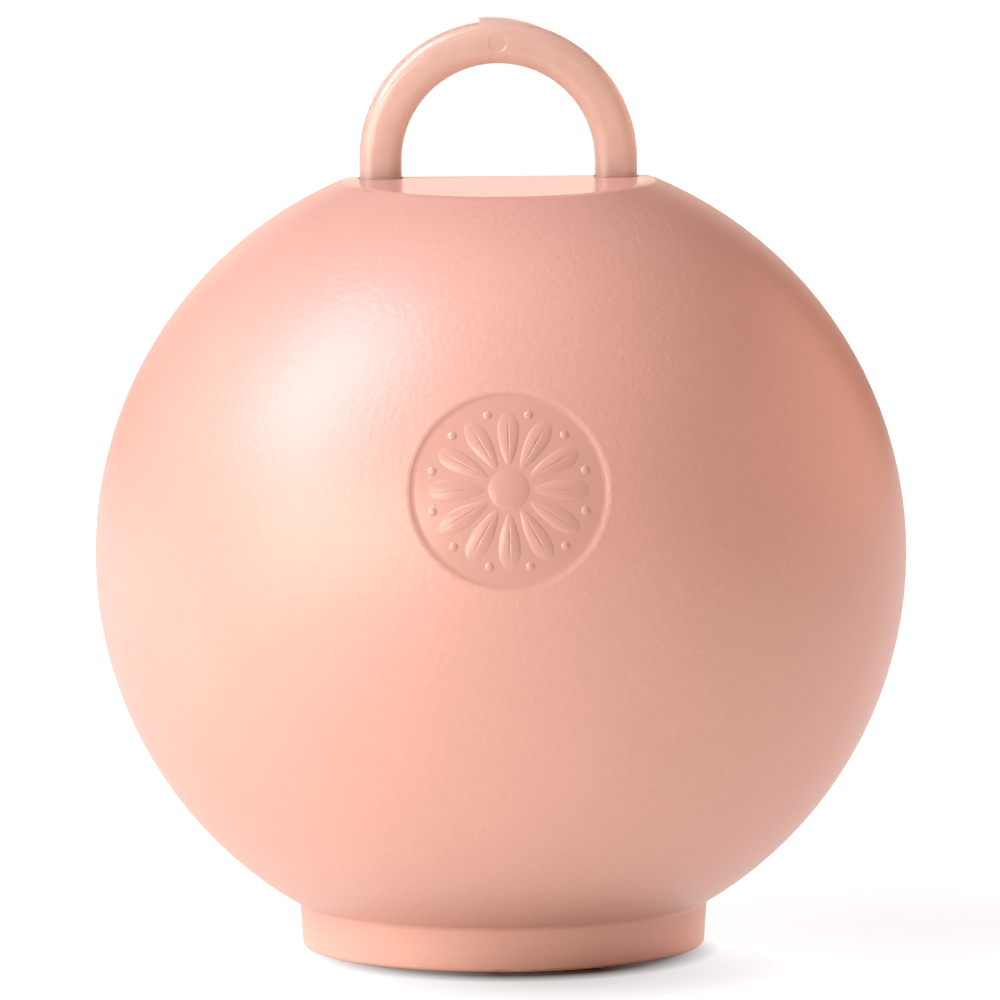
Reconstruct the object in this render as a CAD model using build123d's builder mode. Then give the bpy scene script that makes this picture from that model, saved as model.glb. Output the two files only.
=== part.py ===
"""Balloon weight in the shape of a kettlebell.

A hollow moulded ball stands on its own ring foot and is filled with dry sand through the neck inside that
foot. A snap-in plug closes the neck, and a loop handle for the ribbon is clipped into two sockets in the
crown. Sizes are in millimetres, +Z is up, the medallion faces -Y, and the origin is the centre of the
foot's underside.
"""

import os
from math import cos, radians, sqrt, tan

from build123d import *

# Ball shell: the moulded ball with its cut-off crown, ring foot and blank medallion
ball_diameter = 46.0
shell_wall = 1.8
crown_length = 17.2
crown_draft_angle = 3.6
crown_ridge_radius = 30.0
crown_wall = 2.4
crown_edge_radius = 1.2
foot_diameter = 23.2
foot_height = 2.5
foot_draft_angle = 4.0
foot_edge_radius = 0.25
foot_rim_width = 1.5
crease_radius = 0.3
medallion_diameter = 11.0
medallion_depth = 0.12
medallion_slope_width = 0.3
medallion_edge_radius = 0.4
medallion_tilt_angle = 14.5

# Base plug: a flexible cup that snaps into the filling neck
plug_recess = 0.9
plug_head_thickness = 1.3
plug_head_chamfer = 0.3
plug_rim_width = 2.2
plug_dish_depth = 0.3
plug_skirt_wall = 1.1
plug_bead_height = 1.0
plug_bead_catch = 0.3
plug_lead_in = 0.3
plug_clearance = 0.1
plug_seat_width = 1.3
plug_land_width = 1.2
plug_gate_diameter = 1.8
plug_gate_depth = 0.4

# Handle: a loop of square stock with well rounded edges, and a split, barbed peg under each leg
handle_thickness = 2.4
handle_corner_radius = 0.8
handle_edge_margin = 0.75
handle_straight_length = 0.97
handle_clearance = 0.08
handle_gate_length = 4.0
handle_gate_offset = 0.95
handle_gate_width = 1.2
handle_gate_height = 0.2
handle_pin_mark_diameter = 1.1
handle_pin_mark_depth = 0.1
socket_depth = 0.9
peg_diameter = 1.7
peg_clearance = 0.05
peg_barb_catch = 0.25
peg_barb_length = 1.8
peg_tip_diameter = 1.2
peg_slit_width = 0.5
peg_root_length = 0.3

# Sand filling
sand_gap = 0.1
sand_headspace = 0.9

# Fits that several pieces share
snap_gap = 0.1
cut_overrun = 2.0

# Levels and radii that follow from the sizes above
ball_radius = ball_diameter / 2
cavity_radius = ball_radius - shell_wall
foot_radius = foot_diameter / 2
foot_bottom_radius = foot_radius - foot_height * tan(radians(foot_draft_angle))
ball_centre_z = foot_height + sqrt(ball_radius**2 - foot_radius**2)
crown_half_length = crown_length / 2
crown_z = ball_centre_z + sqrt(ball_radius**2 - crown_half_length**2)
ceiling_z = crown_z - crown_wall

seat_radius = foot_bottom_radius - foot_rim_width
neck_radius = seat_radius - plug_seat_width
land_radius = neck_radius + plug_land_width
seat_z = plug_recess + plug_head_thickness
land_z = ball_centre_z - sqrt(cavity_radius**2 - land_radius**2)

plug_head_radius = seat_radius - plug_clearance
plug_dish_radius = plug_head_radius - plug_rim_width
plug_dish_z = plug_recess + plug_dish_depth
skirt_radius = neck_radius - plug_clearance
skirt_inner_radius = skirt_radius - plug_skirt_wall
bead_radius = neck_radius + plug_bead_catch
bead_z = land_z + snap_gap
skirt_top_z = bead_z + plug_bead_height

handle_half = handle_thickness / 2
leg_x = crown_half_length - handle_edge_margin - handle_half
spring_z = crown_z + handle_straight_length
apex_z = spring_z + leg_x
arch_radius = leg_x + handle_half
socket_z = crown_z - socket_depth
socket_width = handle_thickness + 2 * handle_clearance
socket_corner_radius = handle_corner_radius + handle_clearance
peg_radius = peg_diameter / 2
peg_hole_radius = peg_radius + peg_clearance
barb_radius = peg_hole_radius + peg_barb_catch
barb_z = ceiling_z - snap_gap
peg_tip_z = barb_z - peg_barb_length

sand_radius = cavity_radius - sand_gap
sand_bottom_z = land_z + sand_gap
sand_top_z = peg_tip_z - sand_headspace

# The medallion looks along its own axis, from the ball's centre out through the front of the ball
ball_centre = Vector(0, 0, ball_centre_z)
medallion_axis = Vector(0, -1, 0).rotate(Axis.X, -medallion_tilt_angle)
medallion_radius = medallion_diameter / 2
medallion_floor_radius = medallion_radius - medallion_slope_width
medallion_floor_ball_radius = ball_radius - medallion_depth
medallion_rim_distance = sqrt(ball_radius**2 - medallion_radius**2)
medallion_floor_distance = sqrt(medallion_floor_ball_radius**2 - medallion_floor_radius**2)
medallion_slope = medallion_slope_width / (medallion_rim_distance - medallion_floor_distance)


def sphere_radius_at(radius, height):
    """How far a sphere about the ball's centre reaches from the Z axis at a height."""
    return sqrt(radius**2 - (height - ball_centre_z) ** 2)


# Filling space: the inside of the ball, with a level ceiling under the crown
with BuildPart() as cavity:
    with BuildSketch(Plane.XZ):
        with BuildLine():
            wall = ThreePointArc(
                (land_radius, land_z),
                (cavity_radius, ball_centre_z),
                (sphere_radius_at(cavity_radius, ceiling_z), ceiling_z),
            )
            Polyline(wall @ 1, (0, ceiling_z), (0, land_z), wall @ 0)
        make_face()
    revolve(axis=Axis.Z)

# Medallion recess: a shallow cut with a sloping wall, whose floor follows the ball
with BuildPart() as medallion_recess:
    medallion_outer_height = ball_radius - medallion_floor_distance + cut_overrun
    medallion_foot = ball_centre + medallion_axis * (medallion_floor_distance - medallion_depth)
    with Locations(Plane(origin=medallion_foot, x_dir=(1, 0, 0), z_dir=medallion_axis)):
        Cone(
            medallion_floor_radius - medallion_slope * medallion_depth,
            medallion_floor_radius + medallion_slope * medallion_outer_height,
            medallion_depth + medallion_outer_height,
            align=(Align.CENTER, Align.CENTER, Align.MIN),
        )
    with Locations(ball_centre):
        Sphere(medallion_floor_ball_radius, mode=Mode.SUBTRACT)

# Ball shell: turned outline first, with the ball still full above the crown
with BuildPart() as ball_shell:
    stock_radius = crown_half_length / 2
    stock_z = ball_centre_z + sqrt(ball_radius**2 - stock_radius**2)
    with BuildSketch(Plane.XZ):
        with BuildLine():
            ball = ThreePointArc(
                (foot_radius, foot_height),
                (ball_radius, ball_centre_z),
                (stock_radius, stock_z),
            )
            Polyline(ball @ 1, (0, stock_z), (0, 0), (foot_bottom_radius, 0), ball @ 0)
        make_face()
    revolve(axis=Axis.Z)

    # Crown: it falls to the front and to the back from a rounded ridge under the handle, as the draft of the
    # two mould halves asks
    ridge_z = crown_z + crown_ridge_radius * (1 / cos(radians(crown_draft_angle)) - 1)
    eaves_z = ridge_z - ball_radius * tan(radians(crown_draft_angle))
    with BuildSketch(Plane.YZ) as above_crown:
        with BuildLine():
            Polyline(
                (0, ridge_z),
                (ball_radius, eaves_z),
                (ball_radius, stock_z + cut_overrun),
                (-ball_radius, stock_z + cut_overrun),
                (-ball_radius, eaves_z),
                (0, ridge_z),
            )
        make_face()
        fillet(above_crown.vertices().sort_by_distance((0, ridge_z))[0], radius=crown_ridge_radius)
    extrude(amount=ball_radius, both=True, mode=Mode.SUBTRACT)
    crown_edges = ball_shell.edges().filter_by_position(Axis.Z, ceiling_z, stock_z)
    fillet(crown_edges.filter_by(GeomType.LINE, reverse=True), radius=crown_edge_radius)

    # Foot: the crease under the ball, and its rounded lower edge
    fillet(ball_shell.edges().filter_by(GeomType.CIRCLE).sort_by(Axis.Z)[1], radius=crease_radius)
    fillet(ball_shell.edges().filter_by(GeomType.CIRCLE).sort_by(Axis.Z)[0], radius=foot_edge_radius)

    # Medallion, with both edges of its wall rounded
    add(medallion_recess.part, mode=Mode.SUBTRACT)
    outwards = Axis(ball_centre, medallion_axis)
    wall_bottom = medallion_floor_distance - medallion_depth
    medallion_edges = ball_shell.edges().filter_by_position(outwards, wall_bottom, ball_radius)
    fillet(medallion_edges.filter_by(GeomType.LINE, reverse=True), radius=medallion_edge_radius)

    # Filling space, and the stepped neck in the foot that the plug closes
    add(cavity.part, mode=Mode.SUBTRACT)
    with Locations(Plane(origin=(0, 0, 0), z_dir=(0, 0, -1))):
        CounterBoreHole(neck_radius, seat_radius, seat_z, depth=land_z + cut_overrun)

    # Sockets in the crown for the legs, with a hole in each floor for the peg
    with BuildSketch(Plane.XY.offset(socket_z)):
        with Locations((-leg_x, 0), (leg_x, 0)):
            RectangleRounded(socket_width, socket_width, socket_corner_radius)
    extrude(amount=socket_depth + cut_overrun, mode=Mode.SUBTRACT)
    with Locations((-leg_x, 0, socket_z), (leg_x, 0, socket_z)):
        Hole(peg_hole_radius, depth=crown_wall + cut_overrun)

# Handle: the loop stands on the socket floors, and its barbs catch under the crown
with BuildPart() as handle:
    with BuildLine(Plane.XZ) as loop:
        Line((-leg_x, socket_z), (-leg_x, spring_z))
        ThreePointArc((-leg_x, spring_z), (0, apex_z), (leg_x, spring_z))
        Line((leg_x, spring_z), (leg_x, socket_z))
    with BuildSketch(Plane.XY.offset(socket_z)):
        with Locations((-leg_x, 0)):
            RectangleRounded(handle_thickness, handle_thickness, handle_corner_radius)
    sweep(path=loop.wire())

    # Gate stub on top of the arch: a trimmed step on one side that runs out into the arch on the other
    gate_start_x = handle_gate_offset - handle_gate_length / 2
    gate_start_z = spring_z + arch_radius + handle_gate_height
    gate_end_x = handle_gate_offset + handle_gate_length / 2
    gate_side = handle_gate_width / 2 - (handle_half - handle_corner_radius)
    gate_end_drop = handle_corner_radius - sqrt(handle_corner_radius**2 - gate_side**2)
    gate_end_z = spring_z + sqrt((arch_radius - gate_end_drop) ** 2 - gate_end_x**2)
    with BuildSketch(Plane.XZ):
        with BuildLine():
            stub = RadiusArc((gate_start_x, gate_start_z), (gate_end_x, gate_end_z), arch_radius)
            Polyline(stub @ 1, (gate_end_x, apex_z), (gate_start_x, apex_z), stub @ 0)
        make_face()
    extrude(amount=handle_gate_width / 2, both=True)

    # Shallow round mark of the ejector pin on the front of the arch, with a sloping edge
    with Locations(Plane(origin=(0, -handle_half, apex_z), z_dir=(0, -1, 0))):
        Cone(
            handle_pin_mark_diameter / 2 - handle_pin_mark_depth,
            handle_pin_mark_diameter / 2,
            handle_pin_mark_depth,
            align=(Align.CENTER, Align.CENTER, Align.MAX),
            mode=Mode.SUBTRACT,
        )

    # Pegs with barbed tips, slit so that the two halves can close on their way through the crown
    with Locations((-leg_x, 0, socket_z), (leg_x, 0, socket_z)):
        Cylinder(peg_radius, socket_z - barb_z, align=(Align.CENTER, Align.CENTER, Align.MAX))
    with Locations((-leg_x, 0, peg_tip_z), (leg_x, 0, peg_tip_z)):
        Cone(
            peg_tip_diameter / 2,
            barb_radius,
            peg_barb_length,
            align=(Align.CENTER, Align.CENTER, Align.MIN),
        )
        Box(
            2 * barb_radius + cut_overrun,
            peg_slit_width,
            socket_z - peg_root_length - peg_tip_z,
            align=(Align.CENTER, Align.CENTER, Align.MIN),
            mode=Mode.SUBTRACT,
        )

# Base plug: the head seats in the foot's step, and the bead on the skirt catches over the neck's inner land
with BuildPart() as base_plug:
    with BuildSketch(Plane.XZ):
        with BuildLine():
            Polyline(
                (0, plug_dish_z),
                (plug_dish_radius, plug_dish_z),
                (plug_dish_radius, plug_recess),
                (plug_head_radius, plug_recess),
                (plug_head_radius, seat_z),
                (skirt_radius, seat_z),
                (skirt_radius, bead_z),
                (bead_radius, bead_z),
                (skirt_radius - plug_lead_in, skirt_top_z),
                (skirt_inner_radius, skirt_top_z),
                (skirt_inner_radius, seat_z),
                (0, seat_z),
                (0, plug_dish_z),
            )
        make_face()
    revolve(axis=Axis.Z)
    plug_rim = base_plug.edges().filter_by(GeomType.CIRCLE).group_by(Axis.Z)[0].sort_by(SortBy.RADIUS)[-1]
    chamfer(plug_rim, length=plug_head_chamfer)
    with Locations(Plane(origin=(0, 0, plug_dish_z), z_dir=(0, 0, -1))):
        Hole(plug_gate_diameter / 2, depth=plug_gate_depth)

# Sand filling: it lies round and inside the plug's skirt and stops below the peg tips
with BuildPart() as sand_filling:
    with BuildSketch(Plane.XZ):
        with BuildLine():
            bank = ThreePointArc(
                (sphere_radius_at(sand_radius, sand_bottom_z), sand_bottom_z),
                (sand_radius, ball_centre_z),
                (sphere_radius_at(sand_radius, sand_top_z), sand_top_z),
            )
            Polyline(
                bank @ 1,
                (0, sand_top_z),
                (0, seat_z + sand_gap),
                (skirt_inner_radius - sand_gap, seat_z + sand_gap),
                (skirt_inner_radius - sand_gap, skirt_top_z + sand_gap),
                (bead_radius + sand_gap, skirt_top_z + sand_gap),
                (bead_radius + sand_gap, sand_bottom_z),
                bank @ 0,
            )
        make_face()
    revolve(axis=Axis.Z)

ball_shell.part.label = "ball_shell"
handle.part.label = "handle"
base_plug.part.label = "base_plug"
sand_filling.part.label = "sand_filling"

os.makedirs("parts", exist_ok=True)
export_step(ball_shell.part, "parts/ball_shell.step")
export_step(handle.part, "parts/handle.step")
export_step(base_plug.part, "parts/base_plug.step")
export_step(sand_filling.part, "parts/sand_filling.step")
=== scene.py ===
"""Looks of the balloon weight: a sand-filled moulded ball on a ring foot, with a clip-in loop handle.

Lengths are in metres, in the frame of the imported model: +Z is up and the medallion faces -Y.
"""

import math

import bmesh
import bpy
from mathutils import Matrix, Quaternion, Vector


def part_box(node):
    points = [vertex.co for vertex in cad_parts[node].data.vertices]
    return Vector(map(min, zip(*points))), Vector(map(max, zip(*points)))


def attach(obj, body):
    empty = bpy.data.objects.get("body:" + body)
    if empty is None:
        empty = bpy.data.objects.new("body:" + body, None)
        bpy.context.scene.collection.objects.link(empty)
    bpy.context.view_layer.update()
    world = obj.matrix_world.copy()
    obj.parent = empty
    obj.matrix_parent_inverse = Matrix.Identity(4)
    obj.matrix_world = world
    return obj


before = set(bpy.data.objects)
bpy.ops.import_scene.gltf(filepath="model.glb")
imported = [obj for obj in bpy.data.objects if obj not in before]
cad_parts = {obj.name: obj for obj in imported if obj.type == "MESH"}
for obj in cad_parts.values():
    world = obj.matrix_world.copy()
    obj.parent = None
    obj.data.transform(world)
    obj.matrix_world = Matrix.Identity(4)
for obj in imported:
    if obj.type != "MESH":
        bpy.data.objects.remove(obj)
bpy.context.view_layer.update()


# Camera
# A long lens stands twenty ball radii in front of the weight, a little above it and a touch to its left,
# so that the crown just shows. The ball sits below the middle of the frame, and its top leans left.
mm = 0.001
ball_low, ball_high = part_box("ball_shell")
ball_radius = (ball_high.x - ball_low.x) / 2
crown_half_length = 8.6 * mm
ball_centre = Vector((0, 0, ball_high.z - math.sqrt(ball_radius**2 - crown_half_length**2)))

camera_distance = 20 * ball_radius
camera_azimuth = math.radians(-1.2)
camera_elevation = math.radians(6.05)
camera_roll = math.radians(-0.41)
image_pixels = 1000
focal_pixels = 8100
sensor_width = 36
ball_drop_pixels = 52
ball_right_pixels = 0.6


def direction(azimuth, elevation):
    """A unit vector from the ball: azimuth 0 is the front, and a positive one is to the camera's right."""
    return Vector((
        math.sin(azimuth) * math.cos(elevation),
        -math.cos(azimuth) * math.cos(elevation),
        math.sin(elevation),
    ))


camera = bpy.data.objects.new("camera", bpy.data.cameras.new("camera"))
bpy.context.scene.collection.objects.link(camera)
bpy.context.scene.camera = camera
camera.data.sensor_width = sensor_width
camera.data.lens = sensor_width * focal_pixels / image_pixels
camera.location = ball_centre + camera_distance * direction(camera_azimuth, camera_elevation)
camera.rotation_mode = "QUATERNION"
camera.rotation_quaternion = (
    (ball_centre - camera.location).to_track_quat("-Z", "Y")
    @ Quaternion((1, 0, 0), math.atan(ball_drop_pixels / focal_pixels))
    @ Quaternion((0, 1, 0), math.atan(ball_right_pixels / focal_pixels))
    @ Quaternion((0, 0, 1), camera_roll)
)


# Ball shell
# One hollow polypropylene moulding: the ball, its cut-off crown, its ring foot and the round medallion. The
# tool was spark-eroded, which leaves an even matte grain, but polished at the crown and the medallion floor.
peach = "#d59d8b"
peach_pale = "#ebae9a"
# The darker peach is painted shade, laid on the medallion floor and in the pits.
peach_painted_shade = "#bb8a79"
# A noise cell of this width shows grains about a quarter as wide.
grain_width = 0.38 * mm
grain_height = 0.025 * mm
grain_tint_share = 0.14
polished_grain_share = 0.25
speck_spacing = 1.1 * mm
speck_radius = 0.15 * mm
speck_height = 0.012 * mm
speck_share = 0.45
speck_tint_share = 0.35
pit_spacing = 2.6 * mm
pit_radius = 0.12 * mm
pit_depth = 0.015 * mm
pit_share = 0.6
# Share of painted shade in each pit.
pit_painted_shade_share = 0.5
mottle_width = 9 * mm
mottle_tint_share = 0.12
# The foot is painted paler towards the floor, as painted light, up to this height and by this share.
foot_painted_light_height = 2.2 * mm
foot_painted_light_share = 0.7
# Share of painted shade on the medallion floor.
medallion_painted_shade_share = 0.35
grain_roughness = 0.38
polished_roughness = 0.24
polypropylene_ior = 1.49
grain_specular = 0.57
crown_draft = math.radians(3.6)
crown_edge_low = 0.12 * mm
crown_edge_high = 0.02 * mm
medallion_tilt = math.radians(14.5)
medallion_radius = 5.5 * mm
medallion_wall_share = 0.97
medallion_axis = direction(0, medallion_tilt)


def linear(colour):
    """The linear colour of an sRGB hex value, with full alpha."""
    parts = [int(colour[i:i + 2], 16) / 255 for i in (1, 3, 5)]
    return [c / 12.92 if c <= 0.04045 else ((c + 0.055) / 1.055) ** 2.4 for c in parts] + [1]


def add_node(material, kind, inputs, **settings):
    """Adds a node: settings are its properties, inputs its sockets' values or the sockets that feed them."""
    node = material.node_tree.nodes.new(kind)
    for name, value in settings.items():
        setattr(node, name, value)
    for socket, value in inputs.items():
        if isinstance(value, bpy.types.NodeSocket):
            material.node_tree.links.new(value, node.inputs[socket])
        else:
            node.inputs[socket].default_value = value
    return node


def new_material(name):
    """An empty node material with its output, and the Object coordinates that its patterns are drawn in."""
    material = bpy.data.materials.new(name)
    material.use_nodes = True
    material.node_tree.nodes.clear()
    output = add_node(material, "ShaderNodeOutputMaterial", {})
    place = add_node(material, "ShaderNodeTexCoord", {}).outputs["Object"]
    return material, output, place


def spots(material, place, spacing, radius, share):
    """Scattered round spots, at most one to a cell and only in that share of the cells: 1 in the middle."""
    cells = add_node(material, "ShaderNodeTexVoronoi", {"Vector": place, "Scale": 1 / spacing})
    spot = add_node(material, "ShaderNodeMapRange", {
        "Value": cells.outputs["Distance"],
        "From Min": radius / spacing, "From Max": 0.0, "To Min": 0.0, "To Max": 1.0,
    }, interpolation_type="SMOOTHSTEP")
    dice = add_node(material, "ShaderNodeSeparateColor", {"Color": cells.outputs["Color"]})
    chosen = add_node(material, "ShaderNodeMath", {0: dice.outputs["Red"], 1: share}, operation="LESS_THAN")
    return add_node(material, "ShaderNodeMath", {
        0: spot.outputs["Result"], 1: chosen.outputs["Value"],
    }, operation="MULTIPLY").outputs["Value"]


def on_medallion(material, place):
    """1 inside the medallion's rim, 0 on the rest of the ball."""
    from_centre = add_node(material, "ShaderNodeVectorMath", {0: place, 1: ball_centre}, operation="SUBTRACT")
    across = add_node(material, "ShaderNodeVectorMath", {
        0: from_centre.outputs["Vector"], 1: medallion_axis,
    }, operation="CROSS_PRODUCT")
    off_axis = add_node(material, "ShaderNodeVectorMath", {0: across.outputs["Vector"]}, operation="LENGTH")
    in_circle = add_node(material, "ShaderNodeMapRange", {
        "Value": off_axis.outputs["Value"],
        "From Min": medallion_radius, "From Max": medallion_wall_share * medallion_radius,
        "To Min": 0.0, "To Max": 1.0,
    })
    along = add_node(material, "ShaderNodeVectorMath", {
        0: from_centre.outputs["Vector"], 1: medallion_axis,
    }, operation="DOT_PRODUCT")
    in_front = add_node(material, "ShaderNodeMath", {
        0: along.outputs["Value"], 1: 0.0,
    }, operation="GREATER_THAN")
    return add_node(material, "ShaderNodeMath", {
        0: in_circle.outputs["Result"], 1: in_front.outputs["Value"],
    }, operation="MULTIPLY").outputs["Value"]


def on_crown(material, place):
    """1 on the crown, whose two faces fall to the front and the back by its draft, 0 on the rest."""
    axes = add_node(material, "ShaderNodeSeparateXYZ", {"Vector": place})
    from_ridge = add_node(material, "ShaderNodeMath", {0: axes.outputs["Y"]}, operation="ABSOLUTE")
    level = add_node(material, "ShaderNodeMath", {
        0: from_ridge.outputs["Value"], 1: math.tan(crown_draft), 2: axes.outputs["Z"],
    }, operation="MULTIPLY_ADD")
    return add_node(material, "ShaderNodeMapRange", {
        "Value": level.outputs["Value"],
        "From Min": ball_high.z - crown_edge_low, "From Max": ball_high.z - crown_edge_high,
        "To Min": 0.0, "To Max": 1.0,
    }).outputs["Result"]


def moulded_polypropylene():
    """Matte peach plastic: grain that softens the gloss, specks, pits, mottle and polish, with painted shade
    in the pits and the medallion, and painted light that makes the foot paler towards the floor.
    """
    material, output, place = new_material("polypropylene_spark_eroded")
    grain = add_node(material, "ShaderNodeTexNoise", {
        "Vector": place, "Scale": 1 / grain_width, "Detail": 1.5, "Roughness": 0.6,
    }).outputs["Fac"]
    mottle = add_node(material, "ShaderNodeTexNoise", {
        "Vector": place, "Scale": 1 / mottle_width, "Detail": 3.0, "Roughness": 0.55,
    }).outputs["Fac"]
    speck = spots(material, place, speck_spacing, speck_radius, speck_share)
    pit = spots(material, place, pit_spacing, pit_radius, pit_share)
    medallion = on_medallion(material, place)
    polished = add_node(material, "ShaderNodeMath", {
        0: medallion, 1: on_crown(material, place),
    }, operation="MAXIMUM").outputs["Value"]

    roughness = add_node(material, "ShaderNodeMapRange", {
        "Value": polished,
        "From Min": 0.0, "From Max": 1.0, "To Min": grain_roughness, "To Max": polished_roughness,
    })
    grain_tint = add_node(material, "ShaderNodeMapRange", {
        "Value": grain,
        "From Min": 0.3, "From Max": 0.7, "To Min": 0.0, "To Max": grain_tint_share,
    })
    mottle_tint = add_node(material, "ShaderNodeMapRange", {
        "Value": mottle,
        "From Min": 0.35, "From Max": 0.65, "To Min": 0.0, "To Max": mottle_tint_share,
    })
    grain_and_mottle = add_node(material, "ShaderNodeMath", {
        0: grain_tint.outputs["Result"], 1: mottle_tint.outputs["Result"],
    }, operation="ADD")
    height = add_node(material, "ShaderNodeSeparateXYZ", {"Vector": place}).outputs["Z"]
    # Painted light: the foot is painted paler towards the floor.
    foot_painted_light = add_node(material, "ShaderNodeMapRange", {
        "Value": height,
        "From Min": 0.0, "From Max": foot_painted_light_height, "To Min": foot_painted_light_share, "To Max": 0.0,
    })
    grain_mottle_and_painted_light = add_node(material, "ShaderNodeMath", {
        0: grain_and_mottle.outputs["Value"], 1: foot_painted_light.outputs["Result"],
    }, operation="ADD")
    paleness = add_node(material, "ShaderNodeMath", {
        0: speck, 1: speck_tint_share, 2: grain_mottle_and_painted_light.outputs["Value"],
    }, operation="MULTIPLY_ADD")
    pale = add_node(material, "ShaderNodeMix", {
        "Factor": paleness.outputs["Value"], "A": linear(peach), "B": linear(peach_pale),
    }, data_type="RGBA")
    # Painted shade: the pits and the medallion floor are mixed towards the darker peach.
    pit_painted_shade = add_node(material, "ShaderNodeMath", {0: pit, 1: pit_painted_shade_share}, operation="MULTIPLY")
    painted_shade = add_node(material, "ShaderNodeMath", {
        0: medallion, 1: medallion_painted_shade_share, 2: pit_painted_shade.outputs["Value"],
    }, operation="MULTIPLY_ADD")
    colour = add_node(material, "ShaderNodeMix", {
        "Factor": painted_shade.outputs["Value"], "A": pale.outputs["Result"], "B": linear(peach_painted_shade),
    }, data_type="RGBA")

    grain_share = add_node(material, "ShaderNodeMapRange", {
        "Value": polished,
        "From Min": 0.0, "From Max": 1.0, "To Min": 1.0, "To Max": polished_grain_share,
    })
    grain_bump = add_node(material, "ShaderNodeBump", {
        "Height": grain, "Strength": grain_share.outputs["Result"], "Distance": grain_height,
    })
    speck_bump = add_node(material, "ShaderNodeBump", {
        "Height": speck, "Strength": 1.0, "Distance": speck_height, "Normal": grain_bump.outputs["Normal"],
    })
    pit_bump = add_node(material, "ShaderNodeBump", {
        "Height": pit, "Strength": 1.0, "Distance": -pit_depth, "Normal": speck_bump.outputs["Normal"],
    })
    plastic = add_node(material, "ShaderNodeBsdfPrincipled", {
        "Base Color": colour.outputs["Result"],
        "Roughness": roughness.outputs["Result"],
        "IOR": polypropylene_ior,
        "Specular IOR Level": grain_specular,
        "Normal": pit_bump.outputs["Normal"],
    })
    material.node_tree.links.new(plastic.outputs["BSDF"], output.inputs["Surface"])
    return material


def dress(piece, material):
    """Gives a piece one material in place of what it had."""
    piece.data.materials.clear()
    piece.data.materials.append(material)


shell_plastic = moulded_polypropylene()
dress(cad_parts["ball_shell"], shell_plastic)


# Medallion rosette
# The tool's medallion insert leaves this faint ornament on the medallion floor: a domed boss, twelve veined
# petals and a bead between each two. It is one with the ball, and its soft domes stay below the rim.
medallion_depth = 0.12 * mm
medallion_floor_radius = ball_radius - medallion_depth
petal_count = 12
petal_inner_radius = 1.35 * mm
petal_outer_radius = 4.3 * mm
petal_width = 1.5 * mm
petal_height = 0.08 * mm
petal_root_share = 0.45
vein_width = 0.2 * mm
vein_depth = 0.03 * mm
boss_radius = 1.1 * mm
boss_height = 0.09 * mm
bead_ring_radius = 4.3 * mm
bead_radius = 0.24 * mm
bead_height = 0.065 * mm
dome_edge_latitude = math.radians(30)
sunk = 0.04 * mm
sharp_angle = math.radians(40)
boss_segments = 48
petal_segments = 32
bead_segments = 16
cut_tolerance = 1e-9


def dome(half_width, half_length, height, segments):
    """A new mesh with one closed dome on the XY plane: the top of an ellipsoid, cut off a little below it."""
    mesh = bmesh.new()
    bmesh.ops.create_uvsphere(mesh, u_segments=segments, v_segments=segments, radius=1)
    spread = 1 / math.cos(dome_edge_latitude)
    rise = height / (1 - math.sin(dome_edge_latitude))
    bmesh.ops.scale(mesh, vec=(spread * half_width, spread * half_length, rise), verts=mesh.verts)
    bmesh.ops.translate(mesh, vec=(0, 0, height - rise), verts=mesh.verts)
    cut = bmesh.ops.bisect_plane(
        mesh, geom=list(mesh.verts) + list(mesh.edges) + list(mesh.faces),
        dist=cut_tolerance, plane_co=(0, 0, -sunk), plane_no=(0, 0, -1), clear_outer=True,
    )
    rim = [part for part in cut["geom_cut"] if isinstance(part, bmesh.types.BMEdge)]
    bmesh.ops.edgeloop_fill(mesh, edges=rim)
    return mesh


def around(mesh, count):
    """Repeats all that is in the mesh evenly about the medallion's axis."""
    bmesh.ops.spin(
        mesh, geom=list(mesh.verts) + list(mesh.edges) + list(mesh.faces),
        cent=(0, 0, 0), axis=(0, 0, 1), dvec=(0, 0, 0),
        angle=math.tau * (count - 1) / count, steps=count - 1, use_duplicate=True,
    )


def petal():
    """A new mesh with one petal along +Y: a long dome, narrow at the root, with a vein along its middle."""
    half_length = (petal_outer_radius - petal_inner_radius) / 2
    mesh = dome(petal_width / 2, half_length, petal_height, petal_segments)
    for offset in (-vein_width / 2, 0, vein_width / 2):
        bmesh.ops.bisect_plane(
            mesh, geom=list(mesh.verts) + list(mesh.edges) + list(mesh.faces),
            dist=cut_tolerance, plane_co=(offset, 0, 0), plane_no=(1, 0, 0),
        )
    for vert in mesh.verts:
        if abs(vert.co.x) < vein_width / 4 and vert.co.z > 0:
            vert.co.z -= vein_depth * vert.co.z / petal_height
        along = (vert.co.y / half_length + 1) / 2
        vert.co.x *= petal_root_share + (1 - petal_root_share) * along
    bmesh.ops.translate(mesh, vec=(0, petal_inner_radius + half_length, 0), verts=mesh.verts)
    return mesh


def lay_on_medallion(mesh, name):
    """Bends a flat relief onto the medallion floor, and makes it a piece that is one with the ball."""
    for vert in mesh.verts:
        vert.co.z += math.sqrt(medallion_floor_radius**2 - vert.co.x**2 - vert.co.y**2)
    medallion_right = Vector((1, 0, 0))
    medallion_up = medallion_axis.cross(medallion_right)
    place = Matrix((medallion_right, medallion_up, medallion_axis)).transposed().to_4x4()
    place.translation = ball_centre
    bmesh.ops.transform(mesh, matrix=place, verts=mesh.verts)
    bmesh.ops.recalc_face_normals(mesh, faces=mesh.faces)
    for edge in mesh.edges:
        edge.smooth = edge.calc_face_angle(0) < sharp_angle
    for face in mesh.faces:
        face.smooth = True
    piece = bpy.data.objects.new(name, bpy.data.meshes.new(name))
    mesh.to_mesh(piece.data)
    mesh.free()
    bpy.context.scene.collection.objects.link(piece)
    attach(piece, "root")
    dress(piece, shell_plastic)


lay_on_medallion(dome(boss_radius, boss_radius, boss_height, boss_segments), "rosette_boss")

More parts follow.
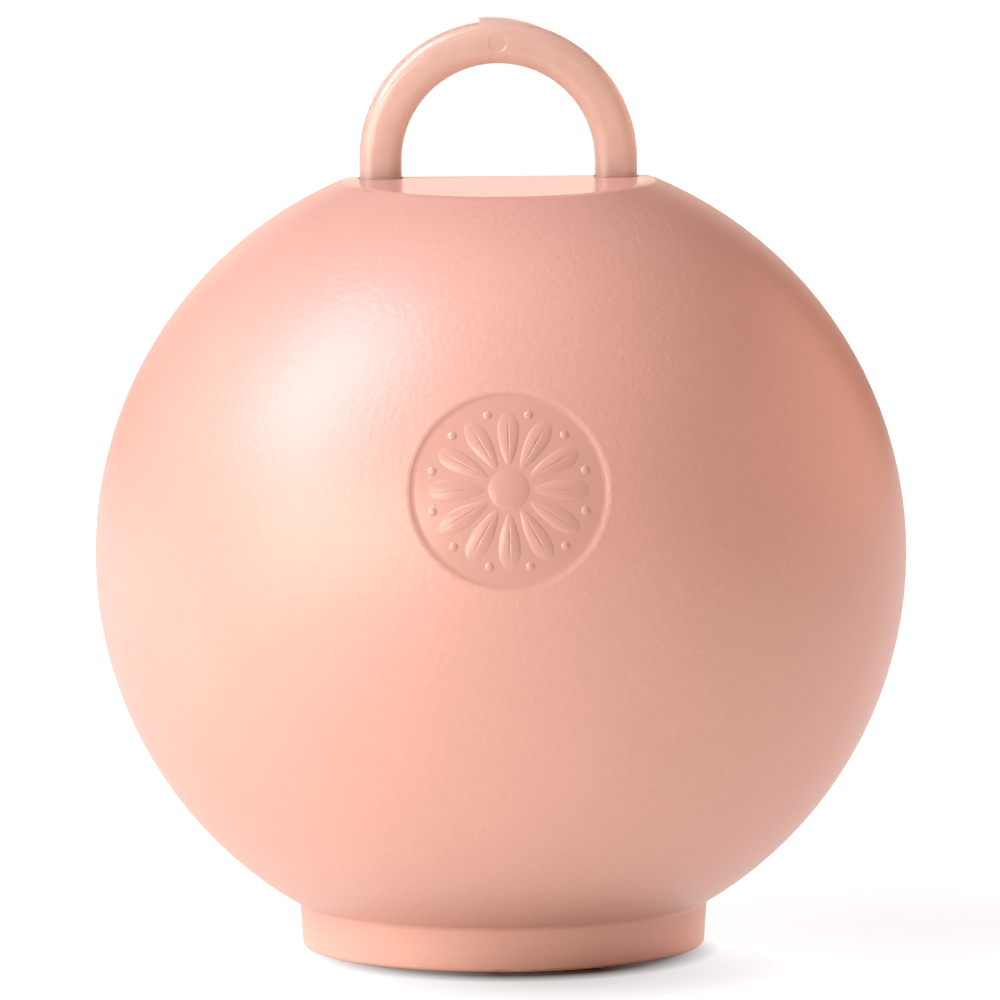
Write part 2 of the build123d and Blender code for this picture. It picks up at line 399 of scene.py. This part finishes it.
petals = petal()
around(petals, petal_count)
lay_on_medallion(petals, "rosette_petals")

half_step = math.pi / petal_count
first_bead = Vector((math.sin(half_step), math.cos(half_step), 0)) * bead_ring_radius
beads = dome(bead_radius, bead_radius, bead_height, bead_segments)
bmesh.ops.translate(beads, vec=first_bead, verts=beads.verts)
around(beads, petal_count)
lay_on_medallion(beads, "rosette_beads")


# Sand filling
# Loose dry quartz sand, poured in through the neck of the foot. It fills the ball nearly to the crown, and
# can't be seen while the plug is in.
sand_pale = "#d8c29a"
sand_dark = "#9c7f55"
sand_grain = 0.5 * mm
sand_roughness = 0.85
quartz_ior = 1.46


def dry_sand():
    """Grains of mixed tan, dull and without gloss, each with its own rounded top."""
    material, output, place = new_material("dry_quartz_sand")
    grains = add_node(material, "ShaderNodeTexVoronoi", {"Vector": place, "Scale": 1 / sand_grain})
    tint = add_node(material, "ShaderNodeSeparateColor", {"Color": grains.outputs["Color"]})
    colour = add_node(material, "ShaderNodeMix", {
        "Factor": tint.outputs["Red"], "A": linear(sand_pale), "B": linear(sand_dark),
    }, data_type="RGBA")
    bump = add_node(material, "ShaderNodeBump", {
        "Height": grains.outputs["Distance"], "Strength": 1.0, "Distance": -sand_grain / 2,
    })
    sand = add_node(material, "ShaderNodeBsdfPrincipled", {
        "Base Color": colour.outputs["Result"],
        "Roughness": sand_roughness,
        "IOR": quartz_ior,
        "Normal": bump.outputs["Normal"],
    })
    material.node_tree.links.new(sand.outputs["BSDF"], output.inputs["Surface"])
    return material


dress(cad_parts["sand_filling"], dry_sand())


# Base plug
# A soft polyethylene cup that snaps into the neck inside the foot. It is waxy, a shade paler than the ball,
# and shows faint rings from the turned tool.
plug_peach = "#dea796"
plug_peach_pale = "#e8b4a4"
plug_haze_width = 3 * mm
plug_gloss_roughness = 0.36
plug_dull_roughness = 0.48
polyethylene_ior = 1.51
plug_ring_spacing = 2.2 * mm
plug_ring_height = 0.004 * mm
# A wave texture turns through this angle, in radians, for each unit of its scale.
wave_turn = 20


def moulded_polyethylene():
    """Waxy peach plastic with faint turning rings about the Z axis and a slightly uneven colour and gloss."""
    material, output, place = new_material("polyethylene_waxy")
    rings = add_node(material, "ShaderNodeTexWave", {
        "Vector": place, "Scale": math.tau / (wave_turn * plug_ring_spacing),
        "Distortion": 0.6, "Detail": 1.0,
    }, wave_type="RINGS", rings_direction="Z")
    haze = add_node(material, "ShaderNodeTexNoise", {
        "Vector": place, "Scale": 1 / plug_haze_width, "Detail": 2.0,
    })
    roughness = add_node(material, "ShaderNodeMapRange", {
        "Value": haze.outputs["Fac"],
        "From Min": 0.3, "From Max": 0.7,
        "To Min": plug_gloss_roughness, "To Max": plug_dull_roughness,
    })
    colour = add_node(material, "ShaderNodeMix", {
        "Factor": haze.outputs["Fac"], "A": linear(plug_peach), "B": linear(plug_peach_pale),
    }, data_type="RGBA")
    bump = add_node(material, "ShaderNodeBump", {
        "Height": rings.outputs["Fac"], "Strength": 0.6, "Distance": plug_ring_height,
    })
    plastic = add_node(material, "ShaderNodeBsdfPrincipled", {
        "Base Color": colour.outputs["Result"],
        "Roughness": roughness.outputs["Result"],
        "IOR": polyethylene_ior,
        "Normal": bump.outputs["Normal"],
    })
    material.node_tree.links.new(plastic.outputs["BSDF"], output.inputs["Surface"])
    return material


dress(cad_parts["base_plug"], moulded_polyethylene())


# Handle
# A polypropylene loop of square stock with well rounded edges, on pegs that clip into the crown. Its tool was
# smoother than the ball's, so it is glossier, with a thin highlight along each leg and faint flow lines.
handle_gloss_roughness = 0.19
handle_dull_roughness = 0.27
handle_peach = "#c29281"
handle_peach_pale = "#ca9c8a"
handle_light_depth = 12 * mm
handle_light_share = 0.75
flow_width = 1.1 * mm
flow_height = 0.01 * mm


def smooth_polypropylene():
    """Peach plastic from a polished tool: satin gloss, slightly uneven, with soft flow marks."""
    material, output, place = new_material("polypropylene_smooth")
    flow = add_node(material, "ShaderNodeTexNoise", {
        "Vector": place, "Scale": 1 / flow_width, "Detail": 2.0, "Roughness": 0.5,
    })
    roughness = add_node(material, "ShaderNodeMapRange", {
        "Value": flow.outputs["Fac"],
        "From Min": 0.3, "From Max": 0.7,
        "To Min": handle_gloss_roughness, "To Max": handle_dull_roughness,
    })
    colour = add_node(material, "ShaderNodeMix", {
        "Factor": flow.outputs["Fac"], "A": linear(handle_peach), "B": linear(handle_peach_pale),
    }, data_type="RGBA")
    bump = add_node(material, "ShaderNodeBump", {
        "Height": flow.outputs["Fac"], "Strength": 0.5, "Distance": flow_height,
    })
    plastic = add_node(material, "ShaderNodeBsdfPrincipled", {
        "Base Color": colour.outputs["Result"],
        "Roughness": roughness.outputs["Result"],
        "IOR": polypropylene_ior,
        "Normal": bump.outputs["Normal"],
        "Subsurface Weight": handle_light_share,
        "Subsurface Radius": (1.0, 1.0, 1.0),
        "Subsurface Scale": handle_light_depth,
    })
    material.node_tree.links.new(plastic.outputs["BSDF"], output.inputs["Surface"])
    return material


dress(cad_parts["handle"], smooth_polypropylene())


# Studio
# A white table that glows from below, with painted shadows round the foot where its glow is turned down. A
# large soft light stands high on the left, a wide one low in front of it, a weak one overhead, a warm card on
# the right and a white one behind.
floor_size = 8.0
floor_grey = "#4b4b4b"
floor_roughness = 0.8
floor_glow = 1.06
# Painted shadows on the table: a dark contact shadow at the foot, a soft shade in front of it, a faint one on
# the right.
floor_painted_shadows = (
    {"centre": Vector((0.4, -3, 0)) * mm, "inner": 9.4 * mm, "outer": 11.8 * mm, "glow": -0.63},
    {"centre": Vector((2.4, -12, 0)) * mm, "inner": 3 * mm, "outer": 14 * mm, "glow": -0.38},
    {"centre": Vector((24, 4, 0)) * mm, "inner": 2 * mm, "outer": 40 * mm, "glow": -0.17},
)
white = "#ffffff"
lamp_distance = 1.0
watts_per_brightness = 4
room_brightness = 0.01


def glowing_table():
    """Acrylic that glows white from below, its glow turned down in painted shadows round the weight."""
    material, output, place = new_material("glowing_table_with_painted_shadows")
    glow = floor_glow
    for shadow_patch in floor_painted_shadows:
        radius = add_node(material, "ShaderNodeVectorMath", {
            0: place, 1: shadow_patch["centre"],
        }, operation="DISTANCE")
        painted_shadow = add_node(material, "ShaderNodeMapRange", {
            "Value": radius.outputs["Value"],
            "From Min": shadow_patch["inner"], "From Max": shadow_patch["outer"],
            "To Min": shadow_patch["glow"], "To Max": 0.0,
        })
        glow = add_node(material, "ShaderNodeMath", {
            0: glow, 1: painted_shadow.outputs["Result"],
        }).outputs["Value"]
    table = add_node(material, "ShaderNodeBsdfPrincipled", {
        "Base Color": linear(floor_grey),
        "Roughness": floor_roughness,
        "Emission Color": linear(white),
        "Emission Strength": glow,
    })
    material.node_tree.links.new(table.outputs["BSDF"], output.inputs["Surface"])
    return material


floor_mesh = bmesh.new()
bmesh.ops.create_grid(floor_mesh, x_segments=1, y_segments=1, size=floor_size / 2)
floor = bpy.data.objects.new("floor", bpy.data.meshes.new("floor"))
floor_mesh.to_mesh(floor.data)
floor_mesh.free()
floor.data.materials.append(glowing_table())
bpy.context.scene.collection.objects.link(floor)


def soft_light(name, azimuth, elevation, width, height, brightness, colour):
    """A soft light that faces the ball; its width and height are the angles in degrees that the ball sees."""
    lamp = bpy.data.lights.new(name, "AREA")
    lamp.shape = "RECTANGLE"
    lamp.size = 2 * lamp_distance * math.tan(math.radians(width / 2))
    lamp.size_y = 2 * lamp_distance * math.tan(math.radians(height / 2))
    lamp.energy = watts_per_brightness * lamp.size * lamp.size_y * brightness
    lamp.color = linear(colour)[:3]
    light = bpy.data.objects.new(name, lamp)
    towards = direction(math.radians(azimuth), math.radians(elevation))
    light.location = ball_centre + lamp_distance * towards
    light.rotation_euler = (-towards).to_track_quat("-Z", "Y").to_euler()
    bpy.context.scene.collection.objects.link(light)


soft_light("key_light", azimuth=-71, elevation=46, width=33, height=43, brightness=7.7, colour="#dfe8ff")
soft_light("front_light", azimuth=-45, elevation=11, width=50, height=24, brightness=4.75, colour="#fff4e4")
soft_light("warm_card", azimuth=112, elevation=17, width=60, height=32, brightness=1.95, colour="#ffc2a8")
soft_light("top_light", azimuth=0, elevation=85, width=40, height=40, brightness=0.65, colour="#fff2dc")
soft_light("white_card", azimuth=180, elevation=12, width=40, height=20, brightness=1.15, colour="#ffecda")

room = bpy.data.worlds.new("studio_room")
room.use_nodes = True
room.node_tree.nodes["Background"].inputs["Color"].default_value = linear(white)
room.node_tree.nodes["Background"].inputs["Strength"].default_value = room_brightness
bpy.context.scene.world = room
bpy.context.scene.view_settings.view_transform = "Standard"
